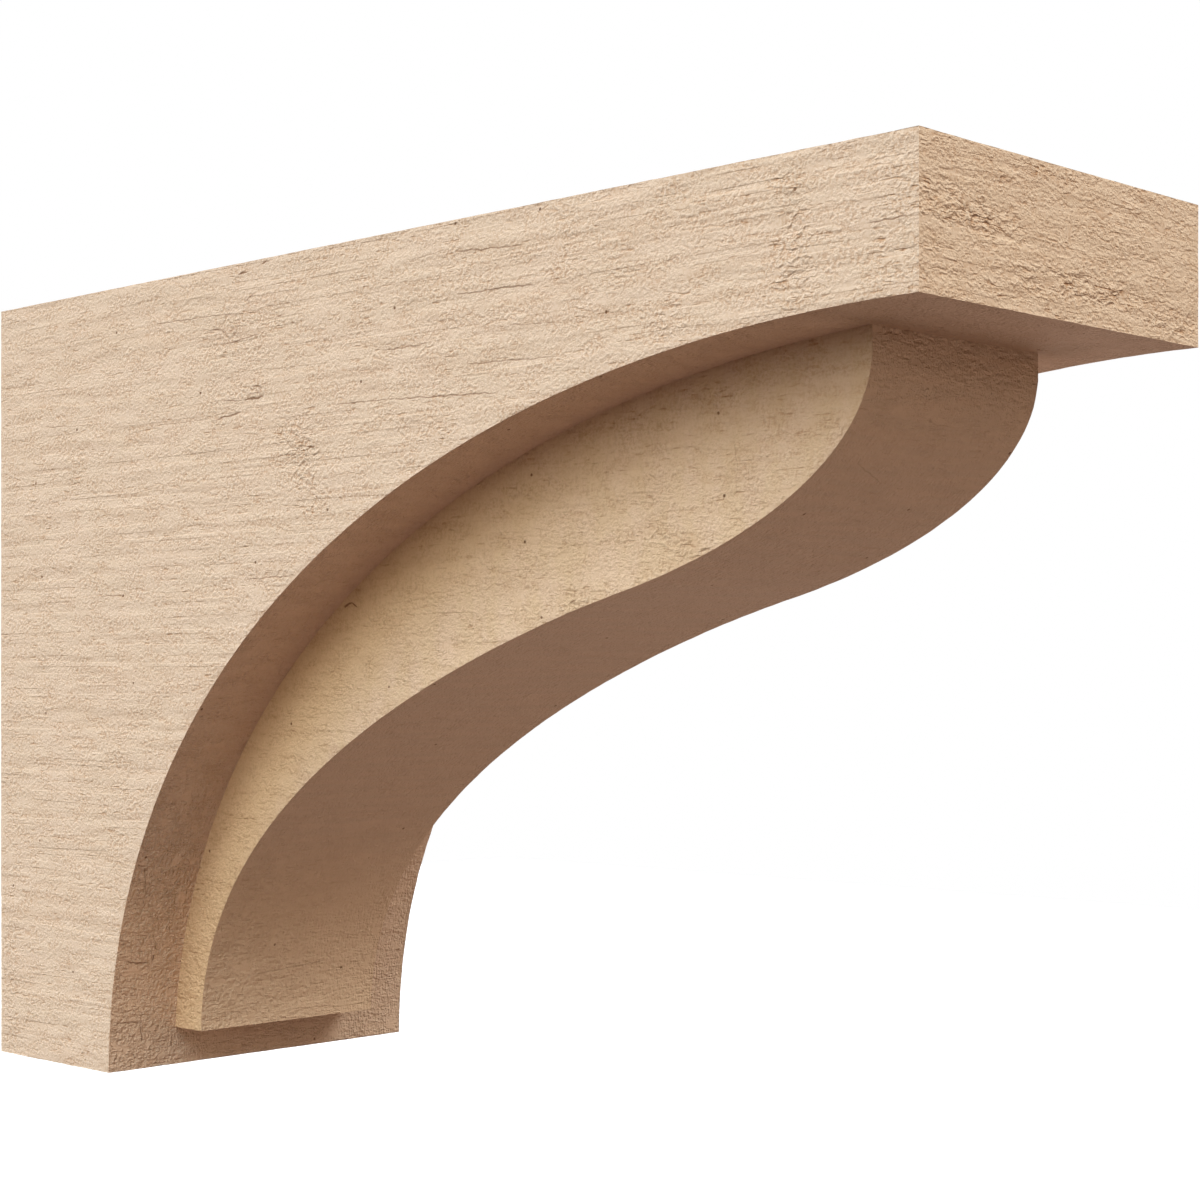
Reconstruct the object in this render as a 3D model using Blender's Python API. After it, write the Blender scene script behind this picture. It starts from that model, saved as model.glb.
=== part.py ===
# Wall corbel, cast in one piece from rigid polyurethane foam.
# A leg stands against the wall and an arm reaches out from its top, with a
# concave cut between the two. A narrower bracket with an ogee front stands
# proud along the middle of the cut.
# Metres, +Z up. The origin is the centre of the flat face against the wall,
# the corbel reaches out towards -Y, and X runs across it.

import math

import bmesh
import bpy
from mathutils import Vector
from mathutils.geometry import interpolate_bezier

# Overall size of the casting
CORBEL_WIDTH = 0.1524
CORBEL_REACH = 0.4572
CORBEL_HEIGHT = 0.3048

# Leg, arm and the concave cut between them
LEG_DEPTH = 0.0762          # from the wall to the leg's front, at its foot
ARM_THICKNESS = 0.0460      # at the arm's front
CUT_FULLNESS = 0.577        # handle over the cut's rise or run; 0.552 would be an ellipse

# Bracket along the middle of the cut
BRACKET_INSET = 0.03175     # each of its sides, in from the corbel's side
FOOT_RISE = 0.0150          # its flat foot, up from the leg's foot
FOOT_PROUD = 0.0173         # its foot, out from the leg's front
NOSE_SETBACK = 0.0391       # its nose, back from the arm's front
NOSE_DROP = 0.0074          # where its nose turns upright, down from the arm's underside
BELLY_LENGTH = 0.1006       # from the nose back to the turn of the ogee
BELLY_DEPTH = 0.0699        # from the nose's upright down to the turn of the ogee
TURN_SLOPE = math.radians(13.8)
BRACKET_ROOT = 0.0200       # how far the bracket's block runs into the leg and the arm

# Handles of the ogee's two curves, over the rise or the run of each curve
SWEEP_START_FULLNESS = 0.633
SWEEP_END_FULLNESS = 0.197
BELLY_START_FULLNESS = 0.569
BELLY_END_FULLNESS = 0.456

# Straight pieces in each curve
CUT_STEPS = 48
SWEEP_STEPS = 36
BELLY_STEPS = 24

FOAM_COLOUR = (0.620, 0.450, 0.295, 1.0)
FOAM_ROUGHNESS = 0.85
SHARP_ANGLE = math.radians(30)


# An outline point: distance out from the wall, and height above the leg's foot
def point(reach, height):
    return Vector((reach, height))


def curve(start, start_handle, end_handle, end, steps):
    knots = [vector.to_3d() for vector in (start, start_handle, end_handle, end)]
    return [knot.to_2d() for knot in interpolate_bezier(*knots, steps + 1)]


# The leg, the arm and the concave cut, which starts upright and ends level
def body_outline():
    underside = CORBEL_HEIGHT - ARM_THICKNESS
    foot = point(LEG_DEPTH, 0)
    tip = point(CORBEL_REACH, underside)
    foot_handle = foot + point(0, CUT_FULLNESS * underside)
    tip_handle = tip - point(CUT_FULLNESS * (CORBEL_REACH - LEG_DEPTH), 0)
    cut = curve(foot, foot_handle, tip_handle, tip, CUT_STEPS)
    return [point(0, 0)] + cut + [point(CORBEL_REACH, CORBEL_HEIGHT), point(0, CORBEL_HEIGHT)]


# The ogee: a concave sweep up from the foot, then the round belly up to the nose
def ogee_line():
    underside = CORBEL_HEIGHT - ARM_THICKNESS
    foot = point(LEG_DEPTH + FOOT_PROUD, FOOT_RISE)
    nose = point(CORBEL_REACH - NOSE_SETBACK, underside - NOSE_DROP)
    turn = nose - point(BELLY_LENGTH, BELLY_DEPTH)
    along = point(math.cos(TURN_SLOPE), math.sin(TURN_SLOPE))
    rise = turn.y - foot.y
    run = turn.x - foot.x
    sweep = curve(foot, foot + point(0, SWEEP_START_FULLNESS * rise),
                  turn - along * SWEEP_END_FULLNESS * run, turn, SWEEP_STEPS)
    belly = curve(turn, turn + along * BELLY_START_FULLNESS * BELLY_LENGTH,
                  nose - point(0, BELLY_END_FULLNESS * BELLY_DEPTH), nose, BELLY_STEPS)
    return sweep + belly[1:]


# The ogee closed by straight lines inside the leg and the arm
def bracket_outline():
    line = ogee_line()
    back = LEG_DEPTH - BRACKET_ROOT
    top = CORBEL_HEIGHT - ARM_THICKNESS + BRACKET_ROOT
    return [point(back, line[0].y)] + line + [point(line[-1].x, top), point(back, top)]


def foam_material():
    material = bpy.data.materials.new("cast foam")
    material.use_nodes = True
    shader = material.node_tree.nodes["Principled BSDF"]
    shader.inputs["Base Color"].default_value = FOAM_COLOUR
    shader.inputs["Roughness"].default_value = FOAM_ROUGHNESS
    shader.inputs["Metallic"].default_value = 0.0
    return material


# A block of one outline, centred across the corbel
def block(name, outline, width):
    shape = bmesh.new()
    corners = [shape.verts.new((width / 2, -spot.x, spot.y - CORBEL_HEIGHT / 2)) for spot in outline]
    side = shape.faces.new(corners)
    swept = bmesh.ops.extrude_face_region(shape, geom=[side])
    far_side = [item for item in swept["geom"] if isinstance(item, bmesh.types.BMVert)]
    bmesh.ops.translate(shape, verts=far_side, vec=(-width, 0, 0))
    bmesh.ops.recalc_face_normals(shape, faces=shape.faces)
    mesh = bpy.data.meshes.new(name)
    shape.to_mesh(mesh)
    shape.free()
    mesh.shade_smooth()
    mesh.set_sharp_from_angle(angle=SHARP_ANGLE)
    piece = bpy.data.objects.new(name, mesh)
    bpy.context.scene.collection.objects.link(piece)
    return piece


def main():
    for item in list(bpy.data.objects):
        bpy.data.objects.remove(item)
    corbel = block("corbel", body_outline(), CORBEL_WIDTH)
    corbel.data.materials.append(foam_material())
    bracket = block("bracket_form", bracket_outline(), CORBEL_WIDTH - 2 * BRACKET_INSET)
    bracket.hide_render = True
    bracket.display_type = "WIRE"
    join = corbel.modifiers.new("bracket", "BOOLEAN")
    join.operation = "UNION"
    join.solver = "EXACT"
    join.object = bracket


main()
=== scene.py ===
import math

import bpy
import numpy as np
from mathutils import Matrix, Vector, kdtree


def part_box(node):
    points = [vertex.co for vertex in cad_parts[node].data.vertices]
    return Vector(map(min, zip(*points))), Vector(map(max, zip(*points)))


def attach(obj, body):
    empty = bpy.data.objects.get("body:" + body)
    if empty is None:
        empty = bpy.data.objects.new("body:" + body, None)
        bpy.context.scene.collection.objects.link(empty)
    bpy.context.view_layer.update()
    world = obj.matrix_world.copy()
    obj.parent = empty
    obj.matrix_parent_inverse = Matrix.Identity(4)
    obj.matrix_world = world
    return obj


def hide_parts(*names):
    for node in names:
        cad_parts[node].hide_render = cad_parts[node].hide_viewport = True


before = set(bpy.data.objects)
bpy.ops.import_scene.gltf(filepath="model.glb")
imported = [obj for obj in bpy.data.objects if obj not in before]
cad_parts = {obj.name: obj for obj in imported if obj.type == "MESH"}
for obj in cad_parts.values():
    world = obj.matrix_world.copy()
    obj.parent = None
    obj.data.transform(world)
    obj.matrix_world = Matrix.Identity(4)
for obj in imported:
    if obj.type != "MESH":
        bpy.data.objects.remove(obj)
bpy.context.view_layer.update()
print("frame loaded")

corbelLow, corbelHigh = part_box("corbel")
width = corbelHigh.x - corbelLow.x
reach = corbelHigh.y - corbelLow.y
height = corbelHigh.z - corbelLow.z

# Camera: level, square to neither face, with the lens shifted as the photograph is framed
camera = {
    "azimuth": -45.0,          # degrees, 0 looks straight at the front
    "distance": 0.8578,        # metres from the middle of the corbel
    "lens": 70.48,
    "sensorWidth": 36.0,
    "shift": (0.0628, 0.0682),
}

middle = (corbelLow + corbelHigh) / 2
turn = math.radians(camera["azimuth"])
cameraData = bpy.data.cameras.new("studioCamera")
cameraData.lens = camera["lens"]
cameraData.sensor_width = camera["sensorWidth"]
cameraData.shift_x, cameraData.shift_y = camera["shift"]
cameraObject = bpy.data.objects.new("studioCamera", cameraData)
cameraObject.location = middle + Vector((math.sin(turn), -math.cos(turn), 0)) * camera["distance"]
cameraObject.rotation_euler = (math.pi / 2, 0, turn)
bpy.context.scene.collection.objects.link(cameraObject)
bpy.context.scene.camera = cameraObject

# The casting's outline, all in metres: reach is out from the wall, rise is up from the foot
casting = {
    "legDepth": 0.0762,
    "armThickness": 0.0460,
    "cutFullness": 0.577,
    "bracketInset": 0.03175,
    "footRise": 0.0150,
    "footProud": 0.0173,
    "noseSetback": 0.0391,
    "noseDrop": 0.0074,
    "bellyLength": 0.1006,
    "bellyDepth": 0.0699,
    "turnSlope": math.radians(13.8),
    "sweepFullness": (0.633, 0.197),
    "bellyFullness": (0.569, 0.456),
}

# How finely the skin is divided, and where the side's lower and upper grids meet
division = {
    "splitRise": 0.186,        # below this the rows run level from the wall to the cut
    "footRows": 14,
    "legRows": 156,
    "armRows": 110,
    "legColumns": 44,
    "armColumns": 80,
    "noseColumns": 13,
    "marginColumns": 13,
    "bracketColumns": 36,
    "cheekRows": 22,
    "curveSteps": 1500,        # points in each curve that the rows and columns are read from
}


def bezier(start, startHandle, endHandle, end):
    t = np.linspace(0, 1, division["curveSteps"])[:, None]
    knots = [np.array(knot) for knot in (start, startHandle, endHandle, end)]
    return ((1 - t) ** 3 * knots[0] + 3 * (1 - t) ** 2 * t * knots[1]
            + 3 * (1 - t) * t ** 2 * knots[2] + t ** 3 * knots[3])


def cutCurve():
    underside = height - casting["armThickness"]
    leg, full = casting["legDepth"], casting["cutFullness"]
    return bezier((leg, 0), (leg, full * underside),
                  (reach - full * (reach - leg), underside), (reach, underside))


def ogeeCurve():
    footReach = casting["legDepth"] + casting["footProud"]
    footRise = casting["footRise"]
    noseReach = reach - casting["noseSetback"]
    noseRise = height - casting["armThickness"] - casting["noseDrop"]
    turnReach = noseReach - casting["bellyLength"]
    turnRise = noseRise - casting["bellyDepth"]
    along = np.array((math.cos(casting["turnSlope"]), math.sin(casting["turnSlope"])))
    atTurn = np.array((turnReach, turnRise))
    early, late = casting["sweepFullness"]
    sweep = bezier((footReach, footRise), (footReach, footRise + early * (turnRise - footRise)),
                   atTurn - along * late * (turnReach - footReach), atTurn)
    early, late = casting["bellyFullness"]
    belly = bezier(atTurn, atTurn + along * early * casting["bellyLength"],
                   (noseReach, noseRise - late * casting["bellyDepth"]), (noseReach, noseRise))
    return np.vstack([sweep, belly[1:]])


def arcLength(line):
    return np.concatenate([[0], np.cumsum(np.hypot(*np.diff(line, axis=0).T))])


# Outward normals of a curve whose open side lies below and in front of it
def curveNormals(line):
    tangent = np.gradient(line, axis=0)
    tangent /= np.hypot(*tangent.T)[:, None]
    return np.stack([tangent[:, 1], -tangent[:, 0]], axis=1)


latticeSize = 256              # the noise repeats after this many steps of its lattice


# Smooth random values between -1 and 1 on a unit lattice
def latticeNoise(u, v, seed):
    table = np.random.default_rng(seed).uniform(-1, 1, (latticeSize, latticeSize))
    iu, iv = np.floor(u).astype(int), np.floor(v).astype(int)
    fu, fv = u - iu, v - iv
    fu, fv = fu * fu * (3 - 2 * fu), fv * fv * (3 - 2 * fv)
    iu, nextU = iu % latticeSize, (iu + 1) % latticeSize
    iv, nextV = iv % latticeSize, (iv + 1) % latticeSize
    near = table[iu, iv] + (table[nextU, iv] - table[iu, iv]) * fu
    beyond = table[iu, nextV] + (table[nextU, nextV] - table[iu, nextV]) * fu
    return near * (1 - fv) + beyond * fv


def smoothStep(low, high, value):
    t = np.clip((value - low) / (high - low), 0, 1)
    return t * t * (3 - 2 * t)


# Each finish is the same cast skin with its saw marks laid on differently. Lengths and depths are
# in metres, along the grain and then across it. Lumps, swells, grooves and saw lines are pressed
# into the mesh. Chatter, grit, wrinkles, creases, lines and pits are finer than its points, and are
# left to the material.
sharedFinish = {
    "groove": 0.0, "grooveSize": (0.040, 0.0030),
    "saw": 0.0, "sawSpacing": 0.0070, "drift": 0.0012,
    "gritSize": (0.0008, 0.0008),
    "crossing": 0.50,          # the share of the wrinkles that lie across the grain
    "pitSpacing": 0.050,
}
# The finishes' colours are set apart by the light on their faces, as painted light and shade: the cheeks
# are painted lighter than the sides, and plainFace, on the top and back, darker against the strong light
# from above. The warm colour is painted warm light, and on the cheek the warm edge of painted shade.
finishes = {
    "sawnSide": {
        **sharedFinish,
        "colour": (0.624, 0.472, 0.336),
        "cloudColour": (0.612, 0.464, 0.327), "cloudSize": (0.030, 0.012),
        "torn": 0.0012, "tornSize": (0.0036, 0.0026),
        "lump": 0.00036, "lumpSize": (0.0100, 0.0034),
        "swell": 0.00028, "swellSize": (0.034, 0.0075),
        "groove": 0.00014, "grooveSize": (0.160, 0.0022),
        "saw": 0.00013, "sawSpacing": 0.0069, "drift": 0.0004,
        "chatter": 0.00004, "chatterSpacing": 0.0190,
        "grit": 0.00019,
        "wrinkle": 0.00064, "wrinkleSize": (0.0019, 0.0012), "valley": 0.36,
        "crease": 0.00014, "creaseSize": (0.0060, 0.0012), "creaseLevel": (0.60, 0.80), "creasePaintedShade": 0.36,
        "line": 0.00013, "lineSize": (0.220, 0.0030), "linePaintedShade": 0.10,
        "pitSpacing": 0.060,
    },
    "sawnFront": {
        **sharedFinish,
        "colour": (0.632, 0.471, 0.316),
        "cloudColour": (0.612, 0.452, 0.298), "cloudSize": (0.024, 0.004),
        "torn": 0.0014, "tornSize": (0.0048, 0.0026),
        "lump": 0.00022, "lumpSize": (0.0058, 0.0028),
        "swell": 0.00020, "swellSize": (0.026, 0.0080),
        "grit": 0.00021,
        "wrinkle": 0.00068, "wrinkleSize": (0.0024, 0.0012), "crossing": 0.38, "valley": 0.35,
        "crease": 0.00016, "creaseSize": (0.0060, 0.0012), "creaseLevel": (0.58, 0.78), "creasePaintedShade": 0.45,
        "line": 0.00014, "lineSize": (0.030, 0.0034), "linePaintedShade": 0.10,
        "pitSpacing": 0.080,
    },
    "plainSweep": {
        **sharedFinish,
        "colour": (0.642, 0.466, 0.310), "paintedWarmLightColour": (0.655, 0.466, 0.294),
        "cloudColour": (0.612, 0.450, 0.302), "cloudSize": (0.040, 0.0030),
        "torn": 0.0008, "tornSize": (0.0030, 0.0026),
        "lump": 0.00022, "lumpSize": (0.0055, 0.0048),
        "swell": 0.00018, "swellSize": (0.026, 0.0100),
        "grit": 0.00044,
        "wrinkle": 0.00110, "wrinkleSize": (0.0032, 0.0013), "valley": 0.07,
        "crease": 0.00016, "creaseSize": (0.0080, 0.0012), "creaseLevel": (0.62, 0.80), "creasePaintedShade": 0.16,
        "line": 0.00016, "lineSize": (0.030, 0.0060), "linePaintedShade": 0.04,
    },
    "sawnCheek": {
        **sharedFinish,
        "colour": (0.704, 0.516, 0.344), "paintedWarmLightColour": (0.704, 0.500, 0.288),
        "cloudColour": (0.676, 0.492, 0.306), "cloudSize": (0.010, 0.020),
        "torn": 0.0010, "tornSize": (0.0036, 0.0022),
        "lump": 0.00018, "lumpSize": (0.0060, 0.0040),
        "swell": 0.00014, "swellSize": (0.030, 0.0090),
        "grit": 0.00030,
        "wrinkle": 0.00082, "wrinkleSize": (0.0024, 0.0012), "valley": 0.26,
        "crease": 0.00016, "creaseSize": (0.0060, 0.0012), "creaseLevel": (0.60, 0.80), "creasePaintedShade": 0.40,
        "line": 0.00014, "lineSize": (0.040, 0.0050), "linePaintedShade": 0.10,
    },
    "plainFace": {
        **sharedFinish,
        "colour": (0.492, 0.361, 0.246),
        "cloudColour": (0.468, 0.342, 0.231), "cloudSize": (0.030, 0.030),
        "torn": 0.0, "tornSize": (0.0040, 0.0022),
        "lump": 0.00015, "lumpSize": (0.0080, 0.0050),
        "swell": 0.00015, "swellSize": (0.030, 0.0120),
        "grit": 0.00022, "gritSize": (0.0010, 0.0010),
        "wrinkle": 0.00035, "wrinkleSize": (0.0030, 0.0018), "valley": 0.12,
        "crease": 0.0, "creaseSize": (0.0050, 0.0050), "creaseLevel": (0.64, 0.78), "creasePaintedShade": 0.0,
        "line": 0.0, "lineSize": (0.012, 0.0050), "linePaintedShade": 0.0,
    },
    "sawnCut": {
        **sharedFinish,
        "colour": (0.650, 0.468, 0.317), "paintedWarmLightColour": (0.748, 0.520, 0.334),
        "cloudColour": (0.630, 0.453, 0.308), "cloudSize": (0.020, 0.0040),
        "torn": 0.0010, "tornSize": (0.0023, 0.0030),
        "lump": 0.00026, "lumpSize": (0.0055, 0.0048),
        "swell": 0.00018, "swellSize": (0.026, 0.0100),
        "grit": 0.00044,
        "wrinkle": 0.00140, "wrinkleSize": (0.0026, 0.0011), "valley": 0.14,
        "crease": 0.00018, "creaseSize": (0.0040, 0.0014), "creaseLevel": (0.62, 0.80), "creasePaintedShade": 0.14,
        "line": 0.00020, "lineSize": (0.020, 0.0060), "linePaintedShade": 0.08,
    },
}

# How the pressed relief varies, whatever the finish
relief = {
    "driftSize": (0.020, 0.010),
    "chatterSize": (0.014, 0.080), "chatterLevel": (-0.1, 0.7), "chatterLeast": 0.6, "chatterGain": 0.8,
    "groovePatchSize": (0.016, 0.007), "groovePatchLevel": (-0.2, 0.5), "grooveWidth": 0.3,
    "biteSize": (0.019, 0.012), "biteMean": 0.65, "biteSpread": 0.35,
    "roughGain": 0.6,
    "firstSeed": 3, "seedStep": 10,
    "grainShift": (0.37, 0.53),        # metres from each surface's grain to the next one's
}
edges = {
    "fade": 0.0022,            # from an edge, the relief comes in over this length
    "wear": 0.00012,
    "wearLength": 0.006,
    "wearSeed": 40,
    "sharpAngle": 50.0,
}

# Painted light and shade: warm light is painted low on the cut and on the bracket's sweep, and
# at the edge of the shade in the cheek's corner, and shade is painted in the corner under the arm.
# Each pair is where a tint starts to change and where it has done so. Lengths are in metres, and
# shares are of the bracket's length, from its foot.
tinting = {
    "cutPaintedWarmLightStart": (-0.020, 0.050),
    "cutPaintedWarmLightEnd": (0.055, 0.100),
    "ogeePaintedWarmLightEnd": (0.040, 0.100),
    "cheekPaintedWarmLightEnd": (0.018, 0.045),    # out from the corner with the cut
    "cheekPaintedWarmLightShare": (0.35, 0.90),
    "cheekPaintedCornerShadeShare": (0.72, 0.95),
    "cheekPaintedCornerShade": 0.18,
    "paintedCornerShadeStart": (-0.010, 0.002),    # past the bracket's nose
    "paintedCornerShadeReach": 0.027,
}

# Rough places on the near faces, in millimetres: along and across the grain, half-length,
# half-width, and how much deeper the wrinkles are there
roughPlaces = {
    "leftSide": [(414, 276, 7, 16, 1.1), (411, 295, 6, 6, 0.7), (160, 279, 22, 12, 0.6),
                 (191, 236, 16, 12, 0.7), (368, 297, 7, 11, 0.5), (329, 283, 10, 22, 0.3),
                 (265, 259, 6, 40, 0.35), (196, 224, 7, 16, 0.6), (52, 236, 7, 10, 0.5),
                 (367, 261, 6, 9, 0.7), (82, 115, 7, 22, 0.4), (7, 37, 6, 36, 0.5),
                 (450, 283, 10, 25, 0.5), (334, 306, 12, 4, 0.6), (163, 256, 14, 5, 0.5)],
    "front": [(-62, 286, 20, 7, 0.8), (-40, 283, 16, 5, 0.8), (0, 270, 34, 5, 0.9),
              (30, 268, 20, 4, 0.6), (62, 265, 18, 4, 0.7), (-8, 301, 22, 3, 0.5)],
    "leftCheek": [(295, 179, 10, 5, 0.9), (330, 196, 24, 5, 0.6), (350, 190, 14, 8, 0.5),
                  (351, 241, 30, 5, 0.8), (391, 248, 26, 5, 0.7), (316, 232, 24, 5, 0.6),
                  (271, 222, 24, 5, 0.4), (332, 207, 8, 9, 0.5), (100, 40, 40, 50, 0.6)],
    "cut": [(-62, 30, 28, 72, 1.0), (-62, 95, 28, 50, 1.0), (66, 30, 20, 60, 0.2)],
    "ogee": [(-30, 28, 36, 56, 1.0), (30, 18, 30, 30, 0.3), (0, 330, 50, 22, 0.35)],
}

# Cracks, scratches and pits on the near faces, in millimetres: where each starts and ends, and
# how strong it is. A pit starts and ends at one place.
marks = {
    "leftSide": [(159.8, 254.7, 171.9, 255.1, 1.0), (146.0, 255.3, 159.8, 254.7, 0.4),
                 (140.8, 248.3, 160.4, 250.6, 0.55), (103.6, 287.9, 158.6, 286.7, 0.35),
                 (148.0, 275.8, 171.3, 277.8, 0.4), (140.6, 281.9, 149.5, 281.5, 0.5),
                 (149.8, 276.4, 160.4, 284.3, 0.35), (164.4, 259.0, 170.8, 258.8, 0.5),
                 (61.4, 264.6, 61.4, 264.6, 0.9), (28.5, 195.0, 28.5, 195.0, 0.9),
                 (93.3, 157.3, 93.3, 157.3, 0.8), (27.8, 88.7, 27.8, 88.7, 0.8),
                 (6.6, 251.3, 6.6, 251.3, 0.6), (194.3, 253.5, 194.3, 253.5, 0.6),
                 (218.2, 248.4, 221.2, 248.4, 0.8), (308.1, 241.5, 308.1, 241.5, 0.6),
                 (266.6, 246.9, 269.6, 246.8, 0.8), (195.0, 235.0, 201.0, 234.8, 0.8),
                 (29.2, 254.5, 70.8, 252.8, 0.3), (100.4, 249.4, 143.8, 249.4, 0.25),
                 (249.4, 294.1, 270.0, 295.4, 0.3), (270.0, 294.1, 305.0, 291.8, 0.4),
                 (270.0, 279.9, 311.7, 278.9, 0.4), (346.2, 279.3, 365.0, 279.7, 0.25),
                 (364.8, 278.9, 367.4, 280.6, 0.35), (367.4, 280.6, 369.8, 278.7, 0.35),
                 (235.2, 264.9, 261.3, 265.3, 0.4), (209.0, 248.7, 245.4, 248.1, 0.35),
                 (235.2, 248.3, 293.6, 245.9, 0.4), (158.6, 189.4, 192.7, 190.1, 0.35),
                 (67.5, 185.9, 89.4, 185.4, 0.35), (274.8, 256.4, 320.5, 254.9, 0.35),
                 (293.6, 267.5, 320.5, 265.5, 0.3), (437.3, 280.3, 455.9, 280.4, 0.4),
                 (156.5, 300.4, 162.5, 301.2, 0.8), (171.0, 302.9, 174.5, 303.3, 0.6),
                 (162.0, 290.6, 168.0, 293.0, 0.5), (147.0, 262.0, 153.5, 263.8, 0.4),
                 (180.0, 283.0, 183.5, 283.2, 0.6), (186.0, 279.6, 190.0, 279.4, 0.5),
                 (194.3, 235.2, 199.8, 234.8, 0.5), (405.1, 294.7, 417.1, 293.9, 0.2),
                 (409.0, 277.5, 417.0, 279.5, 0.25), (408.0, 272.0, 418.0, 270.5, 0.25)],
    "front": [(-56.7, 286.1, -31.8, 284.2, 0.25), (-31.8, 268.2, -5.5, 270.8, 0.2),
              (-5.5, 270.8, 13.7, 269.5, 0.35), (13.7, 269.5, 39.6, 269.5, 0.2)],
    "leftCheek": [(364.6, 230.0, 366.7, 215.6, 0.22), (361.0, 211.0, 361.0, 211.0, 0.9),
                  (179.6, 179.8, 183.2, 181.6, 0.8), (183.2, 181.6, 187.0, 179.6, 0.8),
                  (293.8, 178.4, 297.0, 179.6, 0.8), (204.2, 151.3, 204.2, 151.3, 0.9),
                  (87.0, 20.2, 87.0, 20.2, 0.8), (350.0, 193.0, 358.0, 195.0, 0.4)],
    "cut": [(-73.1, 43.9, -58.5, 42.4, 0.5), (-58.5, 42.4, -57.8, 49.7, 0.7),
            (-55.4, 46.8, -54.8, 51.1, 0.6), (-74.5, 19.2, -57.0, 19.2, 0.5),
            (-71.7, 87.0, -66.9, 69.7, 0.4), (-61.7, 19.2, -60.0, 10.4, 0.5),
            (-75.8, 84.1, -68.9, 84.1, 0.4), (-44.8, 1.5, -44.8, 1.5, 0.8)],
    "ogee": [(-30.8, 390.3, -5.9, 381.1, 0.25), (-21.9, 20.5, 19.0, 23.6, 0.3),
             (39.3, 8.3, 39.3, 8.3, 0.8), (20.0, 72.4, 20.0, 72.4, 0.6)],
}


def stretchedNoise(along, across, size, seed):
    return latticeNoise(along / size[0], across / size[1], seed)


def pressedDepth(along, across, seed, finish, rough):
    across = across + finish["drift"] * stretchedNoise(along, across, relief["driftSize"], seed)
    lumps = 0.5 + 0.5 * stretchedNoise(along, across, finish["lumpSize"], seed + 1)
    swell = 0.5 + 0.5 * stretchedNoise(along, across, finish["swellSize"], seed + 2)
    chatter = relief["chatterLeast"] + relief["chatterGain"] * smoothStep(
        *relief["chatterLevel"], stretchedNoise(along, across, relief["chatterSize"], seed + 3))
    lines = stretchedNoise(along, across, finish["grooveSize"], seed + 4)
    groove = (1 - smoothStep(0, relief["grooveWidth"], np.abs(lines))) * smoothStep(
        *relief["groovePatchLevel"], stretchedNoise(along, across, relief["groovePatchSize"], seed + 5))
    teeth = np.sin(2 * math.pi * across / finish["sawSpacing"])
    bite = relief["biteMean"] + relief["biteSpread"] * stretchedNoise(
        along, across, relief["biteSize"], seed + 6)
    return (finish["lump"] * lumps * chatter * (1 + relief["roughGain"] * rough) + finish["swell"] * swell
            + finish["groove"] * groove + finish["saw"] * (0.5 + 0.5 * teeth * bite))


# The skin is a set of surfaces. Each is one or more grids of points, with their outward normals,
# their places along and across the grain, and how much painted warm light and painted shade they take.
surfaces = []


def addSurface(name, finish, grids):
    surfaces.append({"name": name, "finish": finish, "grids": grids})


def grid(x, out, rise, normal, along, across, paintedWarmLight=0.0, paintedCornerShade=0.0):
    shape = np.broadcast(x, out, rise).shape
    place = np.stack([np.broadcast_to(part, shape) for part in (x, -out, rise + corbelLow.z)], axis=-1)
    facing = np.stack([np.broadcast_to(part, shape) for part in normal], axis=-1)
    run = np.stack([np.broadcast_to(part, shape) for part in (along, across)], axis=-1)
    tint = np.stack([np.broadcast_to(part, shape) for part in (paintedWarmLight, paintedCornerShade)], axis=-1)
    return {"place": place, "facing": facing, "run": run, "tint": tint}


cut = cutCurve()
cutRun = arcLength(cut)
cutNormal = curveNormals(cut)
ogee = ogeeCurve()
ogeeRun = arcLength(ogee)
ogeeNormal = curveNormals(ogee)

splitReach = np.interp(division["splitRise"], cut[:, 1], cut[:, 0])
noseReach = reach - casting["noseSetback"]
legRise = np.concatenate([
    np.linspace(0, casting["footRise"], division["footRows"] + 1),
    np.linspace(casting["footRise"], division["splitRise"], division["legRows"] + 1)[1:]])
armReach = np.concatenate([
    np.linspace(splitReach, noseReach, division["armColumns"] + 1),
    np.linspace(noseReach, reach, division["noseColumns"] + 1)[1:]])
legReach = np.interp(legRise, cut[:, 1], cut[:, 0])
armRise = np.interp(armReach, cut[:, 0], cut[:, 1])
legShare = np.linspace(0, 1, division["legColumns"] + 1)
armShare = np.linspace(0, 1, division["armRows"] + 1)

# The cut's own points, from the leg's foot out to the arm's tip
cutAt = np.concatenate([np.interp(legRise, cut[:, 1], cutRun),
                        np.interp(armReach, cut[:, 0], cutRun)[1:]])
cutReach = np.concatenate([legReach, armReach[1:]])
cutRise = np.concatenate([legRise, armRise[1:]])
cutFacing = [np.interp(cutAt, cutRun, cutNormal[:, axis]) for axis in (0, 1)]
footIndex = division["footRows"]
noseIndex = len(legRise) + division["armColumns"] - 1

halfWidth = width / 2
halfBracket = halfWidth - casting["bracketInset"]
marginX = np.linspace(-halfWidth, -halfBracket, division["marginColumns"] + 1)
bracketX = np.linspace(-halfBracket, halfBracket, division["bracketColumns"] + 1)
allX = np.concatenate([marginX, bracketX[1:], -marginX[::-1][1:]])


# One side of the leg and arm: level rows up to the split, then upright columns out to the tip
def sideGrids(sign):
    cornerRise = division["splitRise"] + armShare * (height - division["splitRise"])
    leg = (legReach[:, None] * legShare, legRise[:, None])
    corner = (splitReach * legShare, cornerRise[:, None])
    arm = (armReach[:, None], armRise[:, None] + armShare * (height - armRise[:, None]))
    return [grid(sign * halfWidth, out, up, (sign, 0, 0), out, up) for out, up in (leg, corner, arm)]


for sign, name in ((-1, "leftSide"), (1, "rightSide")):
    addSurface(name, "sawnSide", sideGrids(sign))

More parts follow.
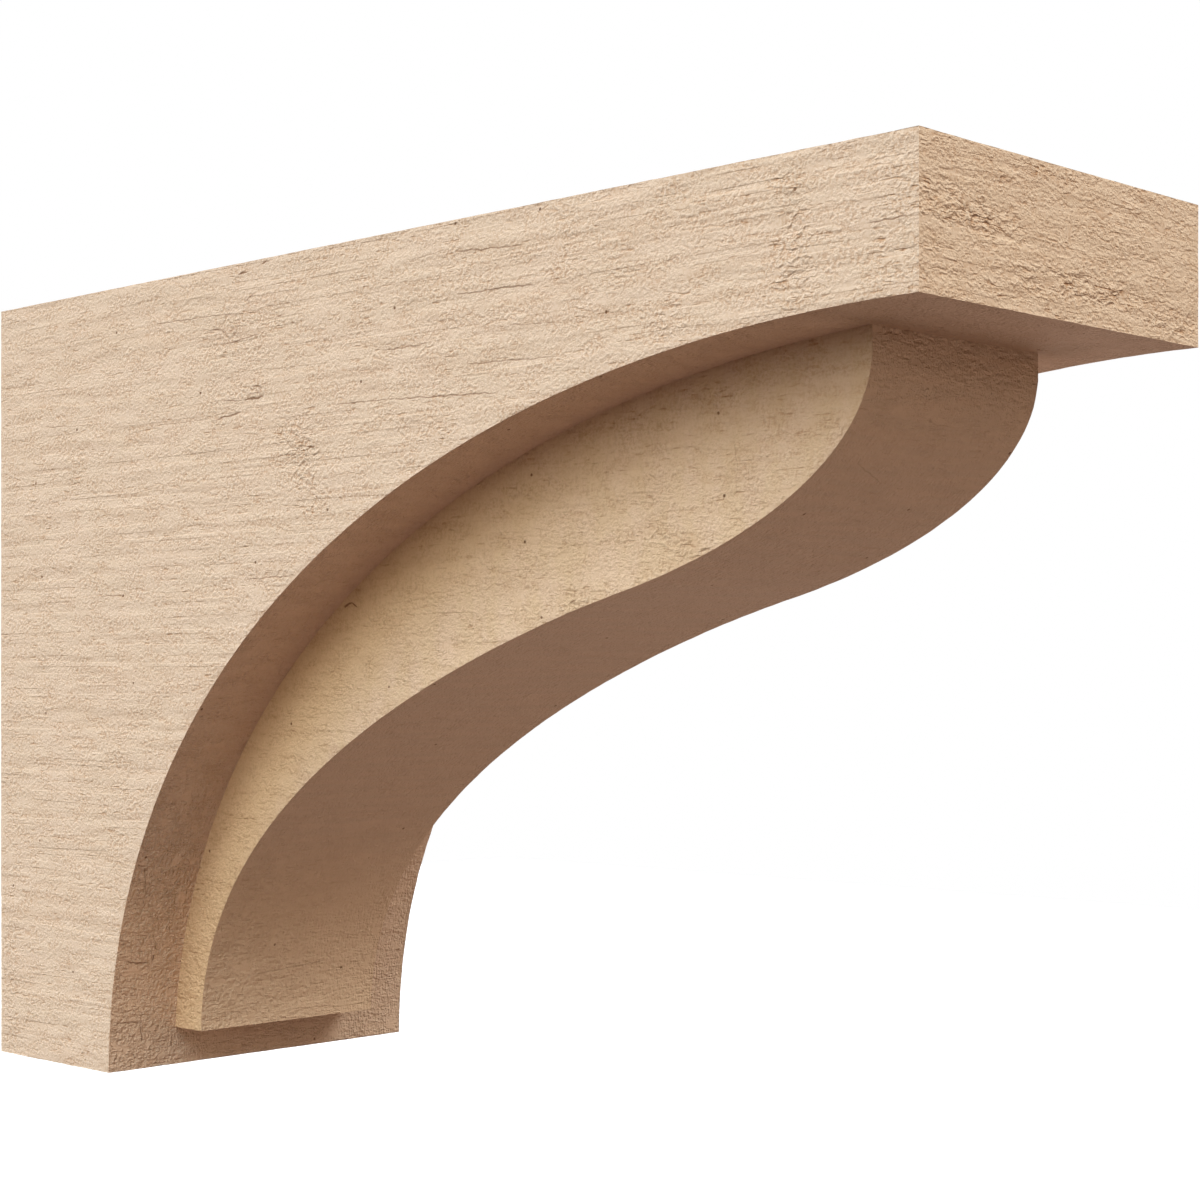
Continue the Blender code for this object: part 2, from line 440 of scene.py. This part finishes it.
topReach = np.concatenate([splitReach * legShare, armReach[1:]])[:, None]
addSurface("top", "plainFace",
           [grid(allX, topReach, height, (0, 0, 1), topReach, allX)])
frontRise = (armRise[-1] + armShare * (height - armRise[-1]))[:, None]
addSurface("front", "sawnFront",
           [grid(allX, reach, frontRise, (0, -1, 0), allX, frontRise)])
footReach = (legReach[0] * legShare)[:, None]
addSurface("foot", "sawnSide",
           [grid(allX, footReach, 0, (0, 0, -1), allX, footReach)])


def cutGrid(x, start, end):
    part = slice(start, end + 1)
    facing = (0, -cutFacing[0][part, None], cutFacing[1][part, None])
    at = cutAt[part, None]
    # Painted warm light on the leg low down, on the left margin, fading out across the bracket's foot
    paintedWarmLight = smoothStep(*tinting["cutPaintedWarmLightStart"], at) * (1 - smoothStep(*tinting["cutPaintedWarmLightEnd"], at))
    paintedWarmLight = paintedWarmLight * (1 - smoothStep(-halfBracket, halfBracket, x))
    # Painted shade on the arm's underside, just past the bracket's nose
    beyond = at - cutAt[noseIndex]
    away = np.hypot(np.maximum(np.abs(x) - halfBracket, 0), np.maximum(beyond, 0))
    paintedCornerShade = np.clip(1 - away / tinting["paintedCornerShadeReach"], 0, 1) ** 2
    paintedCornerShade = paintedCornerShade * smoothStep(*tinting["paintedCornerShadeStart"], beyond)
    return grid(x, cutReach[part, None], cutRise[part, None], facing, x, at, paintedWarmLight, paintedCornerShade)


last = len(cutAt) - 1
addSurface("cut", "sawnCut",
           [cutGrid(marginX, 0, last), cutGrid(-marginX[::-1], 0, last),
            cutGrid(bracketX, 0, footIndex), cutGrid(bracketX, noseIndex, last)])

# The bracket, point for point against the part of the cut that it covers
share = (cutAt[footIndex:noseIndex + 1] - cutAt[footIndex]) / (cutAt[noseIndex] - cutAt[footIndex])
ogeeAt = share * ogeeRun[-1]
ogeeReach, ogeeRise = (np.interp(ogeeAt, ogeeRun, ogee[:, axis]) for axis in (0, 1))
ogeeFacing = [np.interp(ogeeAt, ogeeRun, ogeeNormal[:, axis]) for axis in (0, 1)]
cheekShare = np.linspace(0, 1, division["cheekRows"] + 1)
innerReach, innerRise = cutReach[footIndex:noseIndex + 1, None], cutRise[footIndex:noseIndex + 1, None]
cheekReach = innerReach + cheekShare * (ogeeReach[:, None] - innerReach)
cheekRise = innerRise + cheekShare * (ogeeRise[:, None] - innerRise)
fromCorner = np.hypot(cheekReach - innerReach, cheekRise - innerRise)
# Painted warm light at the edge of the shade along the cheek's corner with the cut, towards the foot
cheekPaintedWarmLight = (1 - smoothStep(*tinting["cheekPaintedWarmLightEnd"], fromCorner)) * (
    1 - smoothStep(*tinting["cheekPaintedWarmLightShare"], share[:, None]))
# Painted shade on the cheek near the arm
cheekPaintedCornerShade = tinting["cheekPaintedCornerShade"] * smoothStep(*tinting["cheekPaintedCornerShadeShare"], share[:, None])
for sign, name in ((-1, "leftCheek"), (1, "rightCheek")):
    addSurface(name, "sawnCheek",
               [grid(sign * halfBracket, cheekReach, cheekRise, (sign, 0, 0), cheekReach, cheekRise,
                     cheekPaintedWarmLight, cheekPaintedCornerShade)])
# The sweep takes painted warm light near the bracket's foot
addSurface("ogee", "plainSweep",
           [grid(bracketX, ogeeReach[:, None], ogeeRise[:, None],
                 (0, -ogeeFacing[0][:, None], ogeeFacing[1][:, None]), bracketX, ogeeAt[:, None],
                 1 - smoothStep(*tinting["ogeePaintedWarmLightEnd"], ogeeAt[:, None])),
            grid(bracketX, cheekReach[-1][:, None], cheekRise[-1][:, None], (0, -1, 0),
                 bracketX, (ogeeAt[-1] + cheekRise[-1] - ogeeRise[-1])[:, None])])
addSurface("bracketFoot", "plainSweep",
           [grid(bracketX, cheekReach[0][:, None], cheekRise[0][:, None], (0, 0, -1),
                 bracketX, -cheekReach[0][:, None])])

# The back is cut flat: one quad for each row between the sides, fanned at its two ends
backRise = np.concatenate([legRise, division["splitRise"]
                           + armShare[1:] * (height - division["splitRise"])])
backX = np.array([-halfWidth, halfWidth])
endRise = backRise[[0, -1], None]
addSurface("back", "plainFace",
           [grid(backX, 0, backRise[1:-1, None], (0, 1, 0), backRise[1:-1, None], backX),
            grid(allX, 0, endRise, (0, 1, 0), endRise, allX)])
print("outline laid out")


weldScale = 1e7                # points within a tenth of a micrometre are one


# Joins the grids' points, and finds which points of the grids are the same
def weldSkin():
    places, runs, tints = [], [], []
    total = 0
    for surface in surfaces:
        for part in surface["grids"]:
            rows, columns = part["place"].shape[:2]
            part["first"] = total
            total += rows * columns
            places.append(part["place"].reshape(-1, 3))
            runs.append(part["run"].reshape(-1, 2))
            tints.append(part["tint"].reshape(-1, 2))
    places, runs, tints = np.concatenate(places), np.concatenate(runs), np.concatenate(tints)
    _, firstUse, welded = np.unique(np.round(places * weldScale).astype(np.int64), axis=0,
                                    return_index=True, return_inverse=True)
    return places, runs, tints, firstUse, welded.reshape(-1)


places, runs, tints, firstUse, welded = weldSkin()
skin = places[firstUse]
print("welded", len(places), "grid points into", len(skin))

# Points that two surfaces share are the casting's edges, where the relief fades out
usedBy = np.zeros(len(skin), int)
for surface in surfaces:
    own = np.concatenate([np.arange(part["first"], part["first"] + part["place"].shape[0]
                                    * part["place"].shape[1]) for part in surface["grids"]])
    surface["points"] = own
    usedBy[np.unique(welded[own])] += 1
edgePoints = np.flatnonzero(usedBy > 1)
edgeTree = kdtree.KDTree(len(edgePoints))
for index in edgePoints:
    edgeTree.insert(skin[index], int(index))
edgeTree.balance()
edgeDistance = np.array([edgeTree.find(place)[2] for place in skin])

# How a rough place fades out, as a share of its size, and how a mark does, in millimetres
marking = {
    "patchFade": (0.5, 1.4),
    "reach": 3.0,              # no distance from a mark is kept beyond this
    "taper": 5.0,              # its ends come in over this length
    "taperShare": 0.25,        # or over this share of a short one
    "overrun": 0.6,
    "fade": (1.3, 2.4),
}
perMetre = 1000                # millimetres

# How rough each grid point is, and how far it is to the side of the nearest mark
rough = np.zeros(len(places))
markSide = np.full(len(places), marking["reach"] / perMetre)
markStrength = np.zeros(len(places))


def layRoughness(own, patches):
    along, across = runs[own].T * perMetre
    for middleAlong, middleAcross, patchLength, patchWidth, gain in patches:
        spread = np.hypot((along - middleAlong) / patchLength, (across - middleAcross) / patchWidth)
        rough[own] += gain * (1 - smoothStep(*marking["patchFade"], spread))


def layMarks(own, lines):
    along, across = runs[own].T * perMetre
    nearest = np.full(len(own), np.inf)
    for startAlong, startAcross, endAlong, endAcross, strength in lines:
        length = math.hypot(endAlong - startAlong, endAcross - startAcross)
        if length == 0:
            pit = np.hypot(along - startAlong, across - startAcross).argmin()
            aside = np.hypot(along - along[pit], across - across[pit])
            distance, taper = aside, 1.0
        else:
            unitAlong, unitAcross = (endAlong - startAlong) / length, (endAcross - startAcross) / length
            onward = (along - startAlong) * unitAlong + (across - startAcross) * unitAcross
            aside = (across - startAcross) * unitAlong - (along - startAlong) * unitAcross
            distance = np.hypot(aside, np.maximum(np.maximum(-onward, onward - length), 0))
            comeIn = (-marking["overrun"], min(marking["taper"], marking["taperShare"] * length))
            taper = smoothStep(*comeIn, onward) * smoothStep(*comeIn, length - onward)
        taper = taper * (1 - smoothStep(*marking["fade"], distance))
        closer = distance < nearest
        nearest[closer] = distance[closer]
        markSide[own[closer]] = np.clip(aside[closer], -marking["reach"], marking["reach"]) / perMetre
        markStrength[own[closer]] = strength * taper[closer]


# Each surface is pressed in along its own normal, and an edge by both of its surfaces
moved = np.zeros_like(skin)
wear = edges["wear"] * (0.5 + 0.5 * latticeNoise((skin[:, 0] + skin[:, 1]) / edges["wearLength"],
                                                 (skin[:, 2] - skin[:, 1]) / edges["wearLength"],
                                                 edges["wearSeed"]))
for order, surface in enumerate(surfaces):
    own = surface["points"]
    target = welded[own]
    layRoughness(own, roughPlaces.get(surface["name"], []))
    layMarks(own, marks.get(surface["name"], []))
    runs[own] += np.array(relief["grainShift"]) * order
    if surface["name"] == "back":
        continue
    facing = np.concatenate([part["facing"].reshape(-1, 3) for part in surface["grids"]])
    finish = finishes[surface["finish"]]
    seed = relief["seedStep"] * order + relief["firstSeed"]
    depth = pressedDepth(runs[own, 0], runs[own, 1], seed, finish, rough[own])
    fade = smoothStep(0, edges["fade"], edgeDistance[target])
    level = 0.5 * (finish["lump"] + finish["swell"] + finish["saw"])
    push = -facing * (level + (depth - level) * fade + wear[target])[:, None]
    total, count = np.zeros_like(skin), np.zeros(len(skin))
    np.add.at(total, target, push)
    np.add.at(count, target, 1)
    moved += total / np.maximum(count, 1)[:, None]
skin = skin + moved
print("relief pressed in")


# A grid's faces, turned so that they look outwards
def gridFaces(part):
    rows, columns = part["place"].shape[:2]
    index = part["first"] + np.arange(rows * columns).reshape(rows, columns)
    quads = np.stack([index[:-1, :-1], index[1:, :-1], index[1:, 1:], index[:-1, 1:]], axis=-1)
    quads = quads.reshape(-1, 4)
    if len(quads) == 0:
        return quads
    a, b, d = (places[quads[0, corner]] for corner in (0, 1, 3))
    outwards = np.dot(np.cross(b - a, d - a), part["facing"][0, 0]) > 0
    return quads if outwards else quads[:, ::-1]


finishOrder = list(finishes)
faces, faceFinish = [], []
for surface in surfaces:
    parts = surface["grids"][:1] if surface["name"] == "back" else surface["grids"]
    for part in parts:
        quads = gridFaces(part)
        faces += quads.tolist()
        faceFinish += [finishOrder.index(surface["finish"])] * len(quads)

# The back's two end rows run to every point of the top and foot edges
backRows, backEnds = surfaces[-1]["grids"]
rowStart, endStart, columnCount = backRows["first"], backEnds["first"], len(allX)
lastRow = rowStart + 2 * (len(backRise) - 3)
lowEnd = [endStart + column for column in range(columnCount)] + [rowStart + 1, rowStart]
highEnd = [lastRow, lastRow + 1] + [endStart + columnCount + column
                                    for column in reversed(range(columnCount))]
for ring in (lowEnd, highEnd):
    faces.append(ring[::-1])
    faceFinish.append(finishOrder.index("plainFace"))

mesh = bpy.data.meshes.new("corbelCasting")
mesh.from_pydata(skin.tolist(), [], [[int(welded[corner]) for corner in face] for face in faces])
cornerPoints = np.concatenate([np.array(face) for face in faces])
grainMap = mesh.uv_layers.new(name="grain")
grainMap.data.foreach_set("uv", runs[cornerPoints].ravel())
for name, values in (("rough", rough), ("markSide", markSide), ("markStrength", markStrength),
                     ("paintedWarmLight", tints[:, 0]), ("paintedCornerShade", tints[:, 1])):
    mesh.attributes.new(name, "FLOAT", "CORNER").data.foreach_set("value", values[cornerPoints])
mesh.polygons.foreach_set("material_index", faceFinish)
mesh.validate()
mesh.update()
corbelCasting = bpy.data.objects.new("corbelCasting", mesh)
bpy.context.scene.collection.objects.link(corbelCasting)
mesh.shade_smooth()
mesh.set_sharp_from_angle(angle=math.radians(edges["sharpAngle"]))
print("casting skin", len(mesh.vertices), "points,", sum(len(face) - 2 for face in faces), "triangles")


# How the fine texture varies, whatever the finish. Sizes and depths are in metres.
texture = {
    "seedStep": 10,
    "noiseShift": (3.7, 5.3),          # from each seed's noise to the next one's
    "patchSize": (0.012, 0.006), "patchLevel": (0.38, 0.62),
    "calmSize": (0.0060, 0.0050), "calmLevel": (0.64, 0.72), "calmShare": 0.85,
    "uneven": 0.75, "unevenPatch": 0.5, "unevenRough": 0.4,
    "creasePatchSize": (0.020, 0.0055), "creasePatchLevel": (0.35, 0.65),
    "lineLevel": (0.46, 0.54), "linePatchSize": (0.030, 0.0080), "linePatchLevel": (0.35, 0.65),
    "markWidth": 0.00042, "markEdge": (-0.0002, 0.0003), "markFade": (0.0, 0.6), "markDepth": 0.00014,
    "wander": 0.0013, "wanderSize": (0.0050, 0.0050),
    "pitInside": 0.00030, "pitOutside": 0.00070, "pitDepth": 0.00040,
    "waver": 0.0020, "waverSize": (0.0100, 0.0300),
    "chatterEdge": (0.0002, 0.0009), "chatterPatchSize": (0.015, 0.020), "chatterPatchLevel": (0.42, 0.62),
}
colouring = {
    # The valley colour is painted shade in the relief's valleys and creases and along the lines' edges
    "paintedReliefShadeColour": (0.420, 0.235, 0.118),
    "deepColour": (0.190, 0.092, 0.040),       # in pits and cracks
    "paintedCornerShadeColour": (0.385, 0.258, 0.160),     # painted shade in the corner under the arm
    "valleyWrinkle": 0.6, "valleyGrit": 0.4, "valleyLevel": (0.36, 0.60),
    "paintedReliefShade": 0.6, "paintedReliefShadePatch": 0.7, "paintedReliefShadeRough": 0.5,
    "roughDarkening": 0.01,                         # a rough place is a little darker
    "cloudLevel": (0.30, 0.70),
    "deepShare": 0.85,
    "roughness": 0.85,
    "specular": 0.2,
}


# A value in a material's node tree, which takes part in ordinary sums
class Value:
    def __init__(self, paint, socket):
        self.paint = paint
        self.socket = socket

    def calculate(self, operation, first, second=0.0):
        return self.paint.node("ShaderNodeMath", {"operation": operation}, {0: first, 1: second})

    def __add__(self, other):
        return self.calculate("ADD", self, other)

    def __radd__(self, other):
        return self.calculate("ADD", other, self)

    def __sub__(self, other):
        return self.calculate("SUBTRACT", self, other)

    def __rsub__(self, other):
        return self.calculate("SUBTRACT", other, self)

    def __mul__(self, other):
        return self.calculate("MULTIPLY", self, other)

    def __rmul__(self, other):
        return self.calculate("MULTIPLY", other, self)

    def __abs__(self):
        return self.calculate("ABSOLUTE", self)


# One material: its settings go in before its values, and a value that is a Value is linked
class Paint:
    def __init__(self, name):
        self.material = bpy.data.materials.new(name)
        self.material.use_nodes = True
        self.tree = self.material.node_tree
        self.surface = self.tree.nodes["Principled BSDF"]

    def node(self, kind, settings, values, output=0):
        made = self.tree.nodes.new(kind)
        for name, setting in settings.items():
            setattr(made, name, setting)
        self.fill(made, values)
        return Value(self, made.outputs[output])

    def fill(self, made, values):
        for name, value in values.items():
            if isinstance(value, Value):
                self.tree.links.new(value.socket, made.inputs[name])
            else:
                made.inputs[name].default_value = value

    def attribute(self, name):
        return self.node("ShaderNodeAttribute", {"attribute_name": name}, {}, "Fac")

    # Noise between 0 and 1, stretched along and across the grain by lengths in metres
    def noise(self, grain, size, seed, detail=1.0, roughness=0.5, distortion=0.0):
        shift = [seed * step for step in texture["noiseShift"]]
        place = self.node("ShaderNodeVectorMath", {"operation": "MULTIPLY_ADD"},
                          {0: grain, 1: (1 / size[0], 1 / size[1], 1), 2: (*shift, 0)})
        return self.node("ShaderNodeTexNoise", {"noise_dimensions": "2D"},
                         {"Vector": place, "Scale": 1.0, "Detail": detail, "Roughness": roughness,
                          "Distortion": distortion}, "Fac")

    def ramp(self, value, low, high):
        return self.node("ShaderNodeMapRange", {"interpolation_type": "SMOOTHSTEP"},
                         {"Value": value, "From Min": low, "From Max": high, "To Min": 0.0, "To Max": 1.0})

    # A mix of two colours, each a Value or a plain colour without its alpha
    def mix(self, factor, first, second):
        first, second = (part if isinstance(part, Value) else part + (1,) for part in (first, second))
        return self.node("ShaderNodeMix", {"data_type": "RGBA"}, {0: factor, 6: first, 7: second}, 2)


def castSkin(name, finish, order):
    paint = Paint(name)
    grain = paint.node("ShaderNodeUVMap", {"uv_map": "grain"}, {})
    seed = texture["seedStep"] * order
    rough, side, strength = (paint.attribute(name) for name in ("rough", "markSide", "markStrength"))

    patch = paint.ramp(paint.noise(grain, texture["patchSize"], seed + 1), *texture["patchLevel"])
    calm = paint.ramp(paint.noise(grain, texture["calmSize"], seed + 2), *texture["calmLevel"])
    grit = paint.noise(grain, finish["gritSize"], seed + 3, roughness=0.6)
    wrinkle = paint.noise(grain, finish["wrinkleSize"], seed + 4)
    crosswise = paint.noise(grain, finish["wrinkleSize"][::-1], seed + 4.5)
    wrinkle = wrinkle * (1 - finish["crossing"]) + crosswise * finish["crossing"]
    crease = paint.ramp(paint.noise(grain, finish["creaseSize"], seed + 5), *finish["creaseLevel"])
    crease = crease * paint.ramp(paint.noise(grain, texture["creasePatchSize"], seed + 7),
                                 *texture["creasePatchLevel"])
    line = paint.ramp(paint.noise(grain, finish["lineSize"], seed + 6, detail=1.5, roughness=0.35),
                      *texture["lineLevel"])
    line = line * paint.ramp(paint.noise(grain, texture["linePatchSize"], seed + 9),
                             *texture["linePatchLevel"])

    wander = (paint.noise(grain, texture["wanderSize"], seed + 8, detail=2.0) - 0.5) * texture["wander"]
    mark = 1 - paint.ramp(abs(side + wander) - strength * texture["markWidth"], *texture["markEdge"])
    mark = mark * paint.ramp(strength, *texture["markFade"])

    place = paint.node("ShaderNodeVectorMath", {"operation": "SCALE"},
                       {0: grain, "Scale": 1 / finish["pitSpacing"]})
    pit = paint.node("ShaderNodeTexVoronoi", {"voronoi_dimensions": "2D", "feature": "F1"},
                     {"Vector": place, "Scale": 1.0, "Randomness": 1.0}, "Distance")
    pit = 1 - paint.ramp(pit, texture["pitInside"] / finish["pitSpacing"],
                         texture["pitOutside"] / finish["pitSpacing"])

    # Depths add up to one height, in metres
    uneven = patch * texture["unevenPatch"] + rough * texture["unevenRough"] + texture["uneven"]
    torn = paint.noise(grain, finish["tornSize"], seed + 11, detail=2.0, distortion=0.5) - 0.5
    fine = ((grit - 0.5) * finish["grit"] + (wrinkle - 0.5) * uneven * finish["wrinkle"]
            + torn * rough * finish["torn"])
    height = (fine - crease * (rough + 1) * finish["crease"]) * (1 - calm * texture["calmShare"])
    height = height - line * finish["line"] - mark * texture["markDepth"] - pit * texture["pitDepth"]
    if "chatter" in finish:
        along = paint.node("ShaderNodeSeparateXYZ", {}, {0: grain}, "X")
        waver = (paint.noise(grain, texture["waverSize"], seed + 12) - 0.5) * texture["waver"]
        fromLine = paint.node("ShaderNodeMath", {"operation": "PINGPONG"},
                              {0: along + waver, 1: finish["chatterSpacing"] / 2})
        chatter = (1 - paint.ramp(fromLine, *texture["chatterEdge"])) * paint.ramp(
            paint.noise(grain, texture["chatterPatchSize"], seed + 13), *texture["chatterPatchLevel"])
        height = height - chatter * finish["chatter"]
    bump = paint.node("ShaderNodeBump", {}, {"Strength": 1.0, "Distance": 1.0, "Height": height})

    # Painted shade darkens the valleys, the creases and the lines' edges, and a rough place a little more;
    # cracks and pits are darkest
    valley = 1 - paint.ramp(wrinkle * colouring["valleyWrinkle"] + grit * colouring["valleyGrit"],
                            *colouring["valleyLevel"])
    ledge = line * (1 - line) * 4
    depth = patch * colouring["paintedReliefShadePatch"] + rough * colouring["paintedReliefShadeRough"] + colouring["paintedReliefShade"]
    paintedReliefShade = (valley * depth * finish["valley"]
            + crease * (rough * colouring["paintedReliefShadeRough"] + 1) * finish["creasePaintedShade"]
            + ledge * finish["linePaintedShade"] + rough * colouring["roughDarkening"])
    cloud = paint.noise(grain, finish["cloudSize"], seed + 10, detail=2.0)
    colour = paint.mix(paint.ramp(cloud, *colouring["cloudLevel"]), finish["colour"], finish["cloudColour"])
    # Painted warm light low down and at the edge of the shade in the cheek's corner, then painted shade in
    # the corner under the arm
    if "paintedWarmLightColour" in finish:
        paintedWarmLight, paintedCornerShade = (paint.attribute(name) for name in ("paintedWarmLight", "paintedCornerShade"))
        colour = paint.mix(paintedWarmLight, colour, finish["paintedWarmLightColour"])
        colour = paint.mix(paintedCornerShade, colour, colouring["paintedCornerShadeColour"])
    colour = paint.mix(paintedReliefShade, colour, colouring["paintedReliefShadeColour"])
    colour = paint.mix(mark * colouring["deepShare"] + pit * colouring["deepShare"], colour, colouring["deepColour"])
    paint.fill(paint.surface, {"Base Color": colour, "Normal": bump, "Roughness": colouring["roughness"],
                               "Specular IOR Level": colouring["specular"]})
    return paint.material


for order, name in enumerate(finishOrder):
    mesh.materials.append(castSkin(name, finishes[name], order))
print("finishes made")

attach(corbelCasting, "root")
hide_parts("corbel")

# Soft lamps far off: azimuth and elevation in degrees, and the strength of each colour
studio = {
    "softness": 50.0,
    "lamps": [
        (-40, -55, (0.547, 0.388, 0.374)),
        (40, -55, (0.483, 0.375, 0.321)),
        (120, -15, (1.206, 0.985, 0.879)),
        (-160, 20, (2.221, 2.408, 2.692)),
        (-120, 20, (0.832, 0.938, 1.017)),
        (-80, 20, (1.308, 1.171, 0.988)),
        (40, 20, (0.685, 0.536, 0.437)),
        (-80, 55, (0.627, 0.889, 1.227)),
        (-40, 55, (1.978, 2.066, 2.165)),
        (40, 55, (2.601, 2.715, 2.838)),
    ],
    "floorDrop": 1.2,
    "floorReach": 12.0,
    "floorColour": (0.90, 0.90, 0.90, 1),
    "floorRoughness": 0.9,
    "skyColour": (1, 1, 1, 1),
}

for number, (azimuth, elevation, strength) in enumerate(studio["lamps"]):
    azimuth, elevation = math.radians(azimuth), math.radians(elevation)
    lampData = bpy.data.lights.new(f"lamp{number}", "SUN")
    lampData.angle = math.radians(studio["softness"])
    lampData.energy = max(strength)
    lampData.color = [part / max(strength) for part in strength]
    lamp = bpy.data.objects.new(f"lamp{number}", lampData)
    towards = Vector((math.sin(azimuth) * math.cos(elevation),
                      -math.cos(azimuth) * math.cos(elevation), math.sin(elevation)))
    lamp.rotation_euler = towards.to_track_quat("Z", "Y").to_euler()
    bpy.context.scene.collection.objects.link(lamp)

# The floor lies far below and throws no light back, as the undersides are the darkest part
far = studio["floorReach"]
floorMesh = bpy.data.meshes.new("studioFloor")
floorMesh.from_pydata([(-far, -far, 0), (far, -far, 0), (far, far, 0), (-far, far, 0)], [], [(0, 1, 2, 3)])
floor = bpy.data.objects.new("studioFloor", floorMesh)
floor.location.z = corbelLow.z - studio["floorDrop"]
floor.visible_diffuse = False
floor.visible_glossy = False
floor.visible_shadow = False
bpy.context.scene.collection.objects.link(floor)
floorMaterial = bpy.data.materials.new("floorPaint")
floorMaterial.use_nodes = True
floorShader = floorMaterial.node_tree.nodes["Principled BSDF"]
floorShader.inputs["Base Color"].default_value = studio["floorColour"]
floorShader.inputs["Roughness"].default_value = studio["floorRoughness"]
floorMesh.materials.append(floorMaterial)

# The sky is seen, but lights nothing
world = bpy.data.worlds.new("studioWorld")
bpy.context.scene.world = world
world.use_nodes = True
world.node_tree.nodes["Background"].inputs["Color"].default_value = studio["skyColour"]
world.cycles_visibility.diffuse = False
world.cycles_visibility.glossy = False
bpy.context.scene.view_settings.view_transform = "Standard"

print("scene ready")
